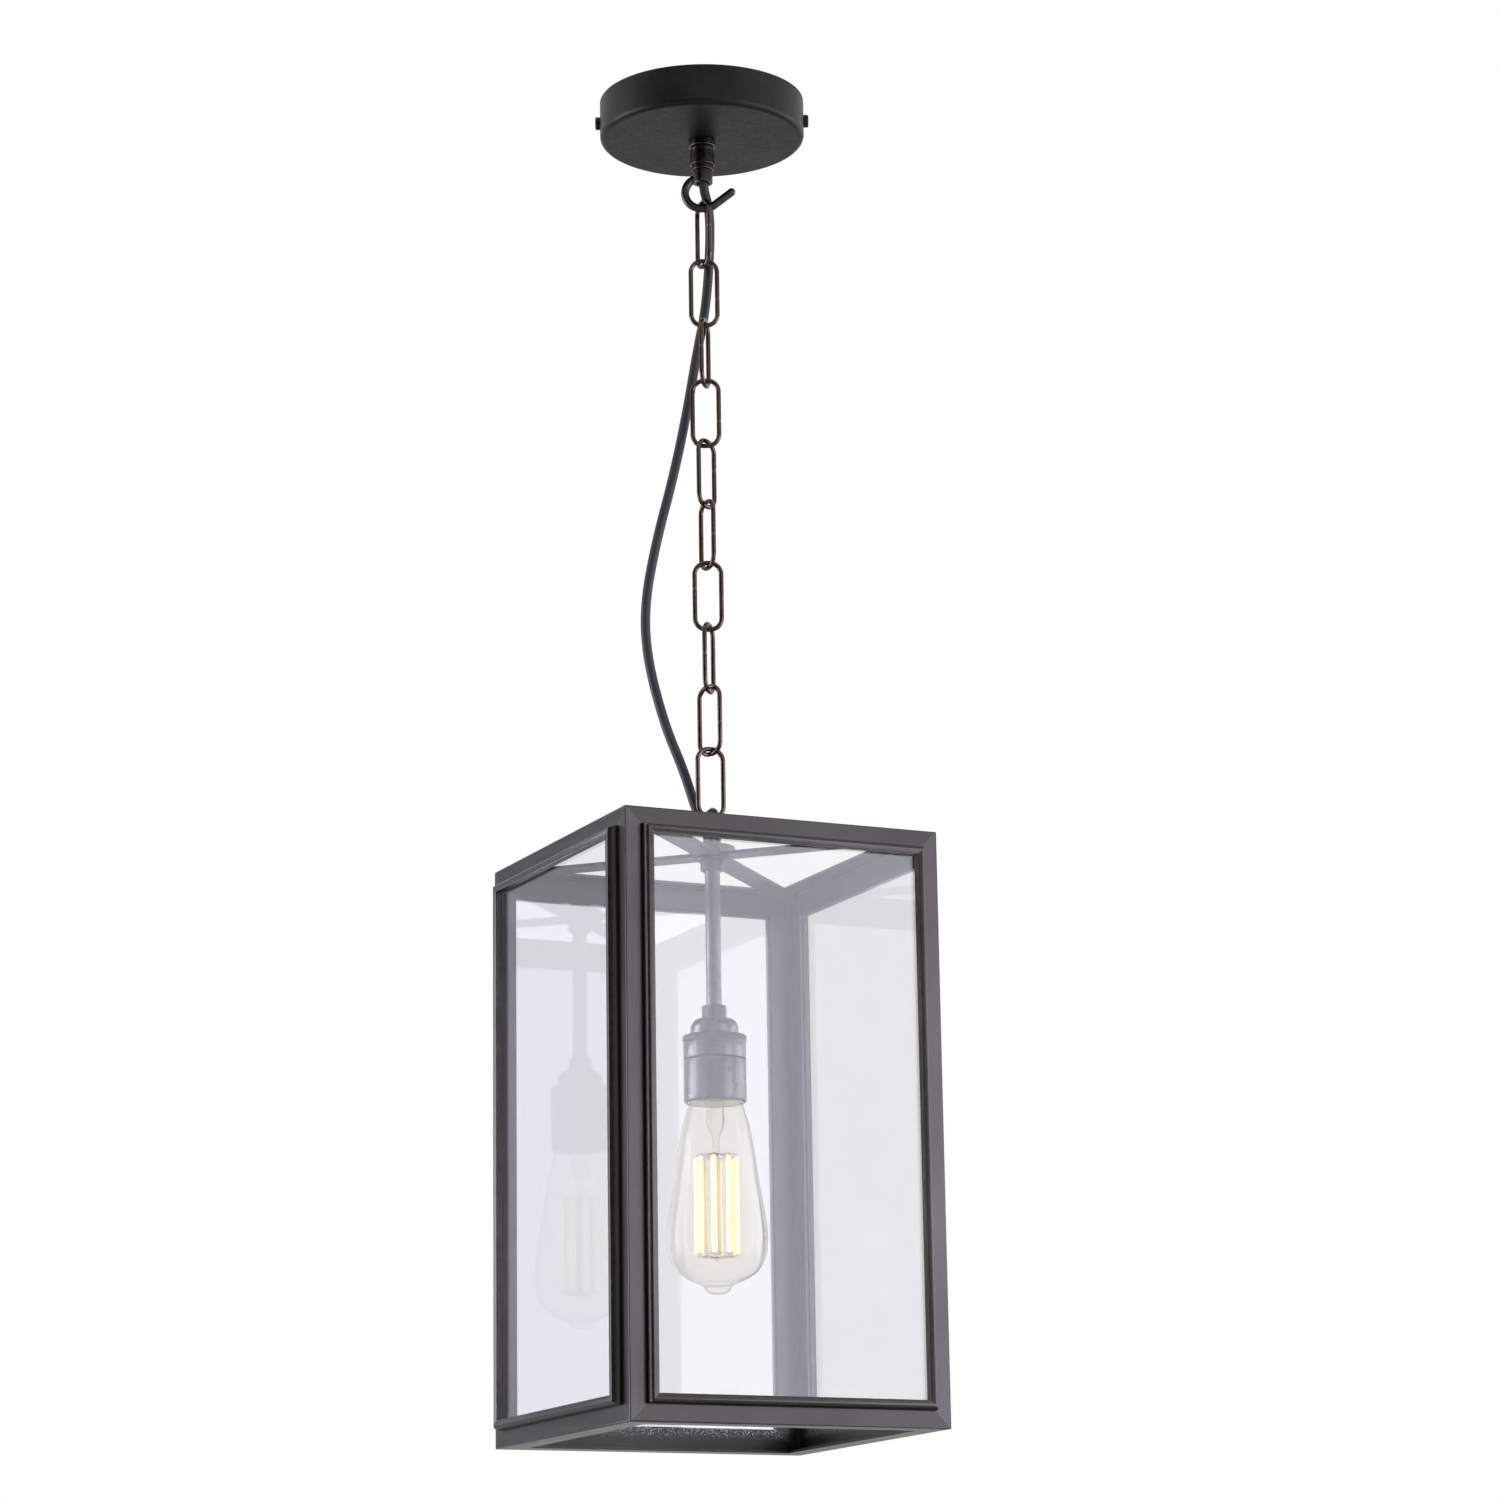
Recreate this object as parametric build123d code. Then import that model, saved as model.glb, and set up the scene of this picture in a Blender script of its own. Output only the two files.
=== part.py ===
from build123d import *
from math import asin, cos, degrees, radians, sin, sqrt, tan
import os

os.makedirs("parts", exist_ok=True)

# Fits between pieces
slide_gap = 0.2
thread_gap = 0.15
link_gap = 0.2
glass_gap = 0.1

# Ceiling rose: cup, bracket and the two side screws
rose_diameter = 136.0
rose_height = 27.0
rose_wall = 1.2
rose_edge_radius = 3.5
bracket_width = 22.0
bracket_thickness = 2.0
bracket_tab_height = 20.0
fixing_spacing = 70.0
fixing_hole = 5.2
side_screw_diameter = 4.0
side_screw_head_diameter = 8.6
side_screw_head_height = 3.2
side_screw_length = 8.0

# Wiring block in the rose
block_length = 34.0
block_width = 18.0
block_height = 12.0
block_screw_diameter = 4.0
block_screw_pitch = 11.0
earth_screw_diameter = 4.0
earth_screw_head_diameter = 8.0

# Cast hook under the rose; the steps are diameter and height from the rose down
hook_turn = -24.7
hook_stem_diameter = 10.0
hook_stem_rise = 9.0
collar_steps = ((17.6, 4.5), (15.0, 2.5), (16.2, 10.5), (14.6, 3.5), (13.4, 9.0))
collar_mouth = 1.0
hook_wire = 5.4
hook_radius = 10.8
hook_drop = 6.7
hook_tip_angle = 38.0
hook_tip_length = 14.5
hook_nut_across_flats = 17.0
hook_nut_height = 5.0

# Chain: the turn of each link's plane from the plane of the hook
link_wire = 3.1
link_length = 48.0
link_width = 20.4
seat_length = 2.0
link_turns = (-63, 0, 75, -5, 55, 118, 180, 252, 319, 380)

# Flex: places along and behind the hook's plane, and the share of the drop
cord_diameter = 6.3
cord_bore = 7.0
cord_lead = 12.0
cord_tail = 6.0
cord_route = (
    (0.0, 0.0, 0.005),
    (4.6, 7.4, 0.036),
    (4.2, 6.9, 0.105),
    (0.8, 9.8, 0.190),
    (-5.4, 11.0, 0.255),
    (-12.2, 8.6, 0.345),
    (-21.6, 6.0, 0.445),
    (-33.5, 4.6, 0.545),
    (-41.6, 4.2, 0.640),
    (-40.2, 4.4, 0.720),
    (-29.0, 4.8, 0.820),
    (-17.2, 4.4, 0.885),
    (-8.6, 2.9, 0.952),
    (0.0, 0.0, 0.988),
)

# Lantern frame of equal angle, mitred at every corner
frame_width = 214.0
frame_height = 373.0
flange = 16.0
angle_thickness = 1.6
angle_arris = 1.0

# Glazing: panes lie on the outer faces and are held by the beads
glass_thickness = 2.0
bead_inset = 10.8
bead_width = 6.0
bead_foot = 2.6
bead_round = 2.8
bead_height = 6.4
bead_fall = 0.5

# Hanging loop, cross straps and centre rod
loop_turn = 110.0
loop_wire = 4.0
loop_width = 26.0
loop_height = 23.6
boss_diameter = 30.0
boss_height = 5.0
strap_width = 16.0
strap_thickness = 2.4
rod_diameter = 9.8
rod_length = 107.0
rod_grip = 6.0
rod_seat = 2.6
hub_washer_diameter = 22.5
hub_washer_thickness = 1.5
hub_nut_diameter = 15.2
hub_nut_height = 7.0

# Lampholder from the neck down
neck_diameter = 15.7
neck_height = 8.4
cap_diameter = 30.4
cap_height = 11.0
cap_wall = 1.6
ring_diameter = 40.5
ring_height = 3.9
holder_diameter = 39.8
holder_wall = 1.6
holder_edge = 0.5
body_height = 11.5
skirt_height = 27.5
skirt_edge_radius = 1.8
mouth_diameter = 34.4
mouth_lip = 2.0
insert_height = 32.0
insert_floor = 9.5
shell_thickness = 0.6
shell_length = 21.0
contact_diameter = 8.0
contact_height = 1.4

# Lamp: screw cap, glass and glowing sticks
lamp_cap_diameter = 26.2
lamp_cap_gap = 0.7
lamp_cap_length = 21.0
lamp_contact_diameter = 9.0
lamp_contact_height = 3.4
glass_diameter = 64.0
glass_neck_diameter = 33.6
glass_length = 121.0
glass_wall = 1.0
pip_diameter = 18.0
pip_height = 6.0
stick_count = 8
stick_diameter = 3.4
stick_length = 61.0
stick_circle = 25.2
stick_turn = 13.0
stick_top_drop = 34.5
ring_wire_width = 1.2
ring_wire_height = 0.8
mount_diameter = 11.5
mount_length = 18.0
mount_rod_diameter = 2.2


def save(name, shape):
    """Write one named piece."""
    shape.label = name
    export_step(shape, f"parts/{name}.step")


def hook_frame(shape):
    """Turn a piece from the plane of the hook to the lantern's own axes."""
    return Rot(0, 0, hook_turn) * shape


def disc(diameter, top, bottom):
    """Upright cylinder between two heights on the hanging axis."""
    return Pos(0, 0, (top + bottom) / 2) * Cylinder(diameter / 2, top - bottom)


def tube(outer, inner, top, bottom):
    """Upright tube between two heights on the hanging axis."""
    return disc(outer, top, bottom) - disc(inner, top, bottom)


def turned(points):
    """Solid turned round the hanging axis from (radius, height) points."""
    return revolve(Plane.XZ * make_face(Polyline(*points, close=True)), Axis.Z)


def wire_along(path, diameter):
    """Round wire swept along a path."""
    return sweep(Plane(path @ 0, z_dir=path % 0) * Circle(diameter / 2), path)


# Ceiling rose
rose_floor = -rose_height + rose_wall
cup = disc(rose_diameter, 0, -rose_height)
cup = fillet(cup.edges().sort_by(Axis.Z)[0], rose_edge_radius)
hollow = disc(rose_diameter - 2 * rose_wall, 0, rose_floor)
hollow = fillet(hollow.edges().sort_by(Axis.Z)[0], rose_edge_radius - rose_wall)
cup -= hollow
cup -= disc(hook_stem_diameter + 2 * slide_gap, rose_floor, -rose_height)
side_axis = -rose_height / 2
side_hole = side_screw_diameter + 2 * slide_gap
cross_hole = Pos(0, 0, side_axis) * Rot(0, 90, 0) * Cylinder(side_hole / 2, rose_diameter)
cup -= cross_hole

tab_face = rose_diameter / 2 - rose_wall - slide_gap
tab_face = sqrt(tab_face**2 - (bracket_width / 2) ** 2)
bracket = Pos(0, 0, -bracket_thickness / 2) * Box(2 * tab_face, bracket_width, bracket_thickness)
for side in (-1, 1):
    tab = Box(bracket_thickness, bracket_width, bracket_tab_height)
    tab_place = side * (tab_face - bracket_thickness / 2)
    bracket += Pos(tab_place, 0, -bracket_tab_height / 2) * tab
    bracket -= Pos(side * fixing_spacing / 2, 0, 0) * disc(fixing_hole, 0, -bracket_thickness)
screw_bore = side_screw_diameter + 2 * thread_gap
bracket -= Pos(0, 0, side_axis) * Rot(0, 90, 0) * Cylinder(screw_bore / 2, rose_diameter)
earth_hole = earth_screw_diameter + 2 * thread_gap
earth_place = bracket_thickness + earth_screw_head_diameter - tab_face
bracket -= Pos(earth_place, 0, 0) * disc(earth_hole, 0, -bracket_thickness)

side_screws = []
head_edge = side_screw_head_height / 3
for side in (-1, 1):
    head = Cylinder(side_screw_head_diameter / 2, side_screw_head_height)
    head = fillet(head.edges().sort_by(Axis.Z)[-1], head_edge)
    head = Pos(0, 0, side_screw_head_height / 2) * head
    shank = Pos(0, 0, -side_screw_length / 2) * Cylinder(side_screw_diameter / 2, side_screw_length)
    screw = head + shank
    screw -= Pos(0, 0, side_screw_head_height) * Box(side_screw_head_diameter, 1, 1.6)
    side_screws.append(Pos(side * rose_diameter / 2, 0, side_axis) * Rot(0, 90 * side, 0) * screw)

block_top = -bracket_thickness
block_bottom = block_top - block_height
block = Pos(0, 0, (block_top + block_bottom) / 2) * Box(block_length, block_width, block_height)
block_bore = block_screw_diameter + 2 * thread_gap
block_screw_depth = block_width / 4
screw_spots = []
for step in (-1, 0, 1):
    for side in (-1, 1):
        edge = side * (block_width / 2 - block_screw_depth / 2)
        spot = Pos(step * block_screw_pitch, edge, (block_top + block_bottom) / 2)
        screw_spots.append(spot * Rot(90, 0, 0))
for spot in screw_spots:
    block -= spot * Cylinder(block_bore / 2, block_screw_depth)
block_screws = [spot * Cylinder(block_screw_diameter / 2, block_screw_depth) for spot in screw_spots]

earth_top = -bracket_thickness
earth_head_height = earth_screw_head_diameter * 0.35
earth_screw = disc(earth_screw_head_diameter, earth_top, earth_top - earth_head_height)
earth_screw += disc(earth_screw_diameter, 0, earth_top)
earth_screw = Pos(earth_place, 0, 0) * earth_screw

# Cast hook: threaded stem, stepped collar and open hook in one piece
stem_top = -rose_height + hook_stem_rise
collar_bottom = -rose_height
cast_hook = disc(hook_stem_diameter, stem_top, -rose_height)
for step_diameter, step_height in collar_steps:
    step = disc(step_diameter, collar_bottom, collar_bottom - step_height)
    cast_hook += fillet(step.edges().filter_by(GeomType.CIRCLE), 0.5)
    collar_bottom -= step_height
hook_centre = collar_bottom - hook_drop
hook_start = 110.0
half_seat = seat_length / 2
back_arc = CenterArc((-half_seat, hook_centre), hook_radius, hook_start, 270 - hook_start)
seat_line = Line(back_arc @ 1, (half_seat, hook_centre - hook_radius))
front_arc = CenterArc((half_seat, hook_centre), hook_radius, 270, hook_tip_angle)
tip_reach = Vector(cos(radians(hook_tip_angle)), sin(radians(hook_tip_angle))) * hook_tip_length
tip_line = Line(front_arc @ 1, (front_arc @ 1) + tip_reach)
hook_path = Plane.XZ * Wire([back_arc, seat_line, front_arc, tip_line])
hook_bend = wire_along(hook_path, hook_wire)
tip_ball = Pos(*(hook_path @ 1)) * Sphere(hook_wire / 2)
cast_hook = cast_hook + hook_bend + tip_ball
cast_hook -= disc(cord_bore, stem_top, collar_bottom - hook_wire)
mouth_flare = Cone(cord_bore / 2 + collar_mouth, cord_bore / 2, 2 * collar_mouth)
cast_hook -= Pos(0, 0, collar_bottom + collar_mouth) * mouth_flare

nut_top = rose_floor + hook_nut_height
nut_outline = RegularPolygon(hook_nut_across_flats / 2, 6, major_radius=False)
hook_nut = Pos(0, 0, rose_floor) * extrude(nut_outline, hook_nut_height)
hook_nut -= disc(hook_stem_diameter + 2 * thread_gap, nut_top, rose_floor)

# Chain, each link hanging on the one above
hook_wire_height = hook_centre - hook_radius
link_span = link_length - link_wire
link_across = link_width - link_wire
link_outline = RectangleRounded(link_across, link_span, (link_across - seat_length) / 2)
link = wire_along((Plane.XZ * link_outline).wire(), link_wire)
bow_height = hook_wire_height + hook_wire / 2 + link_gap + link_wire / 2
links = []
joint_heights = [hook_wire_height]
for turn in link_turns:
    links.append(Rot(0, 0, turn) * Pos(0, 0, bow_height - link_span / 2) * link)
    joint_heights.append(bow_height - link_span)
    bow_height += link_wire + link_gap - link_span

# Hanging loop cast with its boss, standing on the crossed straps
loop_bow = joint_heights[-1] + link_wire / 2 + link_gap + loop_wire / 2
boss_top = loop_bow - loop_height
boss_bottom = boss_top - boss_height
frame_top = boss_bottom + angle_thickness
frame_bottom = frame_top - frame_height
loop_half = (loop_width - loop_wire) / 2
loop_bend = loop_half - seat_length / 2
loop_foot = boss_top - 1
loop_line = FilletPolyline(
    (-loop_half, loop_foot),
    (-loop_half, loop_bow),
    (loop_half, loop_bow),
    (loop_half, loop_foot),
    radius=loop_bend,
)
boss = disc(boss_diameter, boss_top, boss_bottom)
boss = fillet(boss.edges().sort_by(Axis.Z)[-1], 1.5)
hanging_loop = boss + wire_along(Plane.XZ * loop_line, loop_wire)
hanging_loop -= disc(cord_bore, boss_top, boss_bottom)
rod_top = boss_bottom + rod_seat
rod_hole = rod_diameter + 2 * thread_gap
hanging_loop -= disc(rod_hole, rod_top, boss_bottom)
hanging_loop = Rot(0, 0, loop_turn) * hanging_loop

# Cross straps, half lapped where they cross and pointed into the corners
strap_top = boss_bottom
strap_bottom = strap_top - strap_thickness
corner_reach = (frame_width / 2 - angle_thickness - slide_gap) * sqrt(2)
strap_half = strap_width / 2
strap_outline = Polyline(
    (corner_reach, 0),
    (corner_reach - strap_half, strap_half),
    (strap_half - corner_reach, strap_half),
    (-corner_reach, 0),
    (strap_half - corner_reach, -strap_half),
    (corner_reach - strap_half, -strap_half),
    close=True,
)
strap = Pos(0, 0, strap_bottom) * extrude(make_face(strap_outline), strap_thickness)
strap -= disc(rod_hole, strap_top, strap_bottom)
lap = Box(strap_width + 2 * slide_gap, strap_width + 2 * slide_gap, strap_thickness / 2)
lap_middle = strap_bottom + strap_thickness / 2
strap_near = Rot(0, 0, 45) * (strap - Pos(0, 0, lap_middle - strap_thickness / 4) * lap)
strap_across = Rot(0, 0, 135) * (strap - Pos(0, 0, lap_middle + strap_thickness / 4) * lap)

# Centre rod with the washer and nut that clamp the straps to the loop
hub_washer_bottom = strap_bottom - hub_washer_thickness
hub_nut_bottom = hub_washer_bottom - hub_nut_height
hub_washer = tube(hub_washer_diameter, rod_hole, strap_bottom, hub_washer_bottom)
hub_nut = disc(hub_nut_diameter, hub_washer_bottom, hub_nut_bottom)
hub_nut = fillet(hub_nut.edges().sort_by(Axis.Z)[0], 0.8)
hub_nut -= disc(rod_hole, hub_washer_bottom, hub_nut_bottom)
rod_bottom = rod_top - rod_length
centre_rod = tube(rod_diameter, cord_bore, rod_top, rod_bottom)

# Flex from the hook's collar to the loop, with its tails inside the fittings
cord_start = collar_bottom + cord_lead
cord_end = boss_top - cord_tail
cord_drop = collar_bottom - boss_top
route = [Vector(0, 0, cord_start)]
for along, behind, share in cord_route:
    route.append(Vector(along, behind, collar_bottom - share * cord_drop))
route.append(Vector(0, 0, cord_end))
radii = []
for before, here, after in zip(route, route[1:], route[2:]):
    run_in = here - before
    run_out = after - here
    half_turn = radians(run_in.get_angle(run_out) / 2)
    radii.append(0.45 * min(run_in.length, run_out.length) / tan(half_turn))
print("flex bend radii", [round(radius, 1) for radius in radii])
cord_line = FilletPolyline(*route, radius=radii)
flex = wire_along(cord_line, cord_diameter)
cord_share = flex.volume / Circle(cord_diameter / 2).area / cord_line.length
print("flex length", round(cord_line.length, 1), "volume share", round(cord_share, 4))
flex_tail_upper = disc(cord_diameter, block_bottom, cord_start)

# Lantern frame members and the pieces on each face
half_width = frame_width / 2
angle_outline = make_face(
    Polyline(
        (0, 0),
        (flange, 0),
        (flange, angle_thickness),
        (angle_thickness, angle_thickness),
        (angle_thickness, flange),
        (0, flange),
        close=True,
    )
)
angle_outline = fillet(angle_outline.vertices().sort_by_distance((0, 0))[0], angle_arris)


def mitred(outline, length, sides):
    """Bar along its Z axis with both ends cut at 45 degrees on the named sides."""
    bar = extrude(outline, length)
    for side in sides:
        bar = split(bar, Plane((0, 0, 0), z_dir=Vector(0, 0, 1) - side))
        bar = split(bar, Plane((0, 0, length), z_dir=Vector(0, 0, -1) - side))
    return bar


post = mitred(angle_outline, frame_height, (Vector(1, 0, 0), Vector(0, 1, 0)))
rail = mitred(angle_outline, frame_width, (Vector(1, 0, 0), Vector(0, 1, 0)))
corner = Vector(-half_width, -half_width, frame_bottom)
top_corner = Vector(-half_width, -half_width, frame_top)
post_place = Plane(corner, x_dir=(1, 0, 0), z_dir=(0, 0, 1))
lower_place = Plane(corner, x_dir=(0, 1, 0), z_dir=(1, 0, 0))
upper_place = Plane(top_corner, x_dir=(0, 0, -1), z_dir=(1, 0, 0))

glass_edge = bead_inset + bead_foot + slide_gap
pane = Box(frame_width - 2 * glass_edge, glass_thickness, frame_height - 2 * glass_edge)
pane = Pos(0, -half_width - glass_thickness / 2, frame_bottom + frame_height / 2) * pane

foot_inner = bead_inset + bead_foot
bead_inner = bead_inset + bead_width
crest_line = bead_inset + bead_round
lip_low = glass_thickness + glass_gap
bead_run = bead_inner - crest_line
bead_radius = (bead_run**2 + bead_fall**2) / (2 * bead_fall)
bead_turn = degrees(asin(bead_run / bead_radius))
bead_outside = EllipticalCenterArc((crest_line, 0), bead_round, bead_height, 90, arc_size=90)
bead_inside = JernArc((crest_line, bead_height), (1, 0), bead_radius, -bead_turn)
bead_steps = Polyline(
    bead_inside @ 1,
    (bead_inner, lip_low),
    (foot_inner, lip_low),
    (foot_inner, 0),
    (bead_inset, 0),
)
bead_curves = [bead_outside.edge(), bead_inside.edge()]
bead_outline = make_face(bead_curves + bead_steps.edges())
long_bead = mitred(bead_outline, frame_height, (Vector(1, 0, 0),))
short_bead = mitred(bead_outline, frame_width, (Vector(1, 0, 0),))
far_top = Vector(half_width, -half_width, frame_top)
far_corner = Vector(half_width, -half_width, frame_bottom)
face_beads = [
    Plane(corner, x_dir=(0, 0, 1), z_dir=(1, 0, 0)) * short_bead,
    Plane(far_corner, x_dir=(-1, 0, 0), z_dir=(0, 0, 1)) * long_bead,
    Plane(far_top, x_dir=(0, 0, -1), z_dir=(-1, 0, 0)) * short_bead,
    Plane(top_corner, x_dir=(1, 0, 0), z_dir=(0, 0, -1)) * long_bead,
]

# Lampholder under the rod
neck_top = rod_bottom + rod_grip
cap_top = neck_top - neck_height
cap_bottom = cap_top - cap_height
ring_bottom = cap_bottom - ring_height
body_bottom = ring_bottom - body_height
skirt_bottom = body_bottom - skirt_height
shoulder = cap_diameter / 5
dome = disc(cap_diameter, cap_top, cap_bottom)
dome = fillet(dome.edges().sort_by(Axis.Z)[-1], shoulder)
dome_hollow = disc(cap_diameter - 2 * cap_wall, cap_top - cap_wall, cap_bottom)
dome_hollow = fillet(dome_hollow.edges().sort_by(Axis.Z)[-1], shoulder - cap_wall)
holder_cap = dome - dome_hollow + disc(neck_diameter, neck_top, cap_top - cap_wall)
holder_cap -= disc(rod_hole, neck_top, rod_bottom)
holder_cap -= disc(cord_bore, rod_bottom, cap_bottom)
holder_bore = holder_diameter - 2 * holder_wall
holder_ring = tube(ring_diameter, cap_diameter - 4 * cap_wall, cap_bottom, ring_bottom)
ring_rim = holder_ring.edges().group_by(Axis.Z)[-1].sort_by(SortBy.LENGTH)[-1]
holder_ring = chamfer(ring_rim, holder_edge)
holder_body = disc(holder_diameter, ring_bottom, body_bottom)
holder_body = chamfer(holder_body.edges().sort_by(Axis.Z)[0], holder_edge)
holder_body -= disc(holder_bore, ring_bottom, body_bottom)
holder_skirt = disc(holder_diameter, body_bottom, skirt_bottom)
holder_skirt = chamfer(holder_skirt.edges().sort_by(Axis.Z)[-1], holder_edge)
holder_skirt = fillet(holder_skirt.edges().sort_by(Axis.Z)[0], skirt_edge_radius)
holder_skirt -= disc(holder_bore, body_bottom, skirt_bottom + mouth_lip)
holder_skirt -= disc(mouth_diameter, body_bottom, skirt_bottom)
insert_bottom = ring_bottom - insert_height
insert_bore_top = ring_bottom - insert_floor
shell_inner = lamp_cap_diameter + 2 * lamp_cap_gap
shell_outer = shell_inner + 2 * shell_thickness
holder_insert = disc(holder_bore - 2 * slide_gap, ring_bottom, insert_bottom)
holder_insert -= disc(shell_outer + 2 * thread_gap, insert_bore_top, insert_bottom)
screw_shell = tube(shell_outer, shell_inner, insert_bore_top, insert_bore_top - shell_length)
contact_bottom = insert_bore_top - contact_height
centre_contact = disc(contact_diameter, insert_bore_top, contact_bottom)
flex_tail_lower = disc(cord_diameter, cord_end, ring_bottom)

# Lamp
lamp_cap_top = contact_bottom - lamp_contact_height
lamp_cap_bottom = lamp_cap_top - lamp_cap_length
cap_inner = lamp_cap_diameter - 2 * glass_wall
lamp_contact = disc(lamp_contact_diameter, contact_bottom, lamp_cap_top)
lamp_cap = disc(lamp_cap_diameter, lamp_cap_top, lamp_cap_bottom)
lamp_cap = fillet(lamp_cap.edges().sort_by(Axis.Z)[-1], 2)
lamp_cap -= disc(cap_inner, lamp_cap_top - glass_wall, lamp_cap_bottom)
glass_bottom = skirt_bottom - glass_length


def glass_side(inset):
    """Side and pip of the lamp glass from its neck to its tip, drawn in by an inset."""
    widest = glass_diameter / 2 - inset
    neck = glass_neck_diameter / 2 - inset
    tip = glass_bottom + inset
    pip_radius = pip_diameter / 2 - inset
    side = Spline(
        (neck, skirt_bottom),
        (neck + 0.38 * (widest - neck), skirt_bottom - 0.17 * glass_length),
        (neck + 0.71 * (widest - neck), skirt_bottom - 0.44 * glass_length),
        (widest, skirt_bottom - 0.715 * glass_length),
        (0.77 * widest, skirt_bottom - 0.888 * glass_length),
        (pip_radius, tip + pip_height),
    )
    ball_radius = (pip_radius**2 + pip_height**2) / (2 * pip_height)
    pip = JernArc((0, tip), (1, 0), ball_radius, degrees(asin(pip_radius / ball_radius)))
    return side, pip


outer_side, outer_pip = glass_side(0)
inner_side, inner_pip = glass_side(glass_wall)
glass_top_outer = (lamp_cap_diameter / 2, lamp_cap_bottom)
glass_top_inner = (lamp_cap_diameter / 2 - glass_wall, lamp_cap_bottom)
glass_top = Polyline(outer_side @ 0, glass_top_outer, glass_top_inner, inner_side @ 0)
glass_tip = Line(outer_pip @ 0, inner_pip @ 0)
glass_lines = (outer_side, outer_pip, inner_side, inner_pip, glass_tip)
glass_edges = [line.edge() for line in glass_lines]
lamp_glass = revolve(Plane.XZ * make_face(glass_edges + glass_top.edges()), Axis.Z)
mount_top = lamp_cap_top - glass_wall
mount_bottom = skirt_bottom - mount_length
mount_taper = mount_diameter / 3
stick_top = skirt_bottom - stick_top_drop
stick_bottom = stick_top - stick_length
mount_rod_bottom = stick_bottom - 2 * ring_wire_height
lamp_mount = turned(
    (
        (0, mount_top),
        (mount_diameter / 2, mount_top),
        (mount_diameter / 2, mount_bottom),
        (mount_rod_diameter / 2, mount_bottom - mount_taper),
        (mount_rod_diameter / 2, mount_rod_bottom),
        (0, mount_rod_bottom),
    )
)
stick = Cylinder(stick_diameter / 2, stick_length)
stick = Pos(stick_circle / 2, 0, (stick_top + stick_bottom) / 2) * stick
light_sticks = [Rot(0, 0, stick_turn + 360 * n / stick_count) * stick for n in range(stick_count)]
spoke = Box(stick_circle / 2, ring_wire_width, ring_wire_height)
stick_rings = []
for base in (stick_top, stick_bottom - ring_wire_height):
    middle = base + ring_wire_height / 2
    top = base + ring_wire_height
    hoop = tube(stick_circle + ring_wire_width, stick_circle - ring_wire_width, top, base)
    for n in range(3):
        hoop += Rot(0, 0, stick_turn + 120 * n) * Pos(stick_circle / 4, 0, middle) * spoke
    hoop += disc(2 * mount_rod_diameter, top, base)
    stick_rings.append(hoop - disc(mount_rod_diameter + 2 * thread_gap, top, base))

# Every piece in its place
save("ceiling_bracket", hook_frame(bracket))
save("rose_cup", hook_frame(cup))
save("rose_side_screws", Compound([hook_frame(screw) for screw in side_screws]))
save("terminal_block", hook_frame(block))
save("terminal_screws", Compound([hook_frame(screw) for screw in block_screws]))
save("earth_screw", hook_frame(earth_screw))
save("cast_hook", hook_frame(cast_hook))
save("hook_nut", hook_frame(hook_nut))
save("flex_tail_upper", flex_tail_upper)
save("flex", hook_frame(flex))
for number, hung in enumerate(links, 1):
    save(f"chain_link_{number:02d}", hook_frame(hung))
save("hanging_loop", hook_frame(hanging_loop))
save("cross_strap_near", strap_near)
save("cross_strap_across", strap_across)
save("hub_washer", hub_washer)
save("hub_nut", hub_nut)
save("centre_rod", centre_rod)
save("flex_tail_lower", flex_tail_lower)
for number, side in enumerate(("front", "right", "back", "left")):
    quarter = Rot(0, 0, 90 * number)
    save(f"post_{side}", quarter * (post_place * post))
    save(f"lower_rail_{side}", quarter * (lower_place * rail))
    save(f"upper_rail_{side}", quarter * (upper_place * rail))
    save(f"glass_{side}", quarter * pane)
    save(f"beads_{side}", Compound([quarter * bead for bead in face_beads]))
save("holder_cap", holder_cap)
save("holder_ring", holder_ring)
save("holder_body", holder_body)
save("holder_skirt", holder_skirt)
save("holder_insert", holder_insert)
save("screw_shell", screw_shell)
save("centre_contact", centre_contact)
save("lamp_cap", lamp_cap)
save("lamp_contact", lamp_contact)
save("lamp_glass", lamp_glass)
save("lamp_mount", lamp_mount)
save("light_sticks", Compound(light_sticks))
save("stick_rings", Compound(stick_rings))
print("joint heights", [round(height, 3) for height in joint_heights])
print("frame top and bottom", round(frame_top, 3), round(frame_bottom, 3))
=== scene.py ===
import logging
import math
from dataclasses import dataclass, field, replace
from enum import Enum
from typing import Iterable, Sequence, Union

import bmesh
import bpy
from mathutils import Matrix, Vector


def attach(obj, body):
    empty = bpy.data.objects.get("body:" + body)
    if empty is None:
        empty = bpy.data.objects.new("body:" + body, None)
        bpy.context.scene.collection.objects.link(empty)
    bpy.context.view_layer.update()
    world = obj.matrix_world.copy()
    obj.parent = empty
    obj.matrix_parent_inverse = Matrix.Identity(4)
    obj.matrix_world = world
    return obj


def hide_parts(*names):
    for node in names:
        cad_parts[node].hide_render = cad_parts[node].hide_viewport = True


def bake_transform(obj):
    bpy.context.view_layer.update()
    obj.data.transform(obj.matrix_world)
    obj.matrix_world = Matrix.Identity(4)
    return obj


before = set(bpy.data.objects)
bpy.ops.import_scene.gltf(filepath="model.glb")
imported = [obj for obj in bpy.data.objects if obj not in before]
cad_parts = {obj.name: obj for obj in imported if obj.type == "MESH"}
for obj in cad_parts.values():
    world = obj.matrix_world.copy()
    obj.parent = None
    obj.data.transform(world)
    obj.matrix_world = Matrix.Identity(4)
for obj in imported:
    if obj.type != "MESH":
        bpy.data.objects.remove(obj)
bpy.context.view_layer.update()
log = logging.getLogger("lantern")

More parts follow.
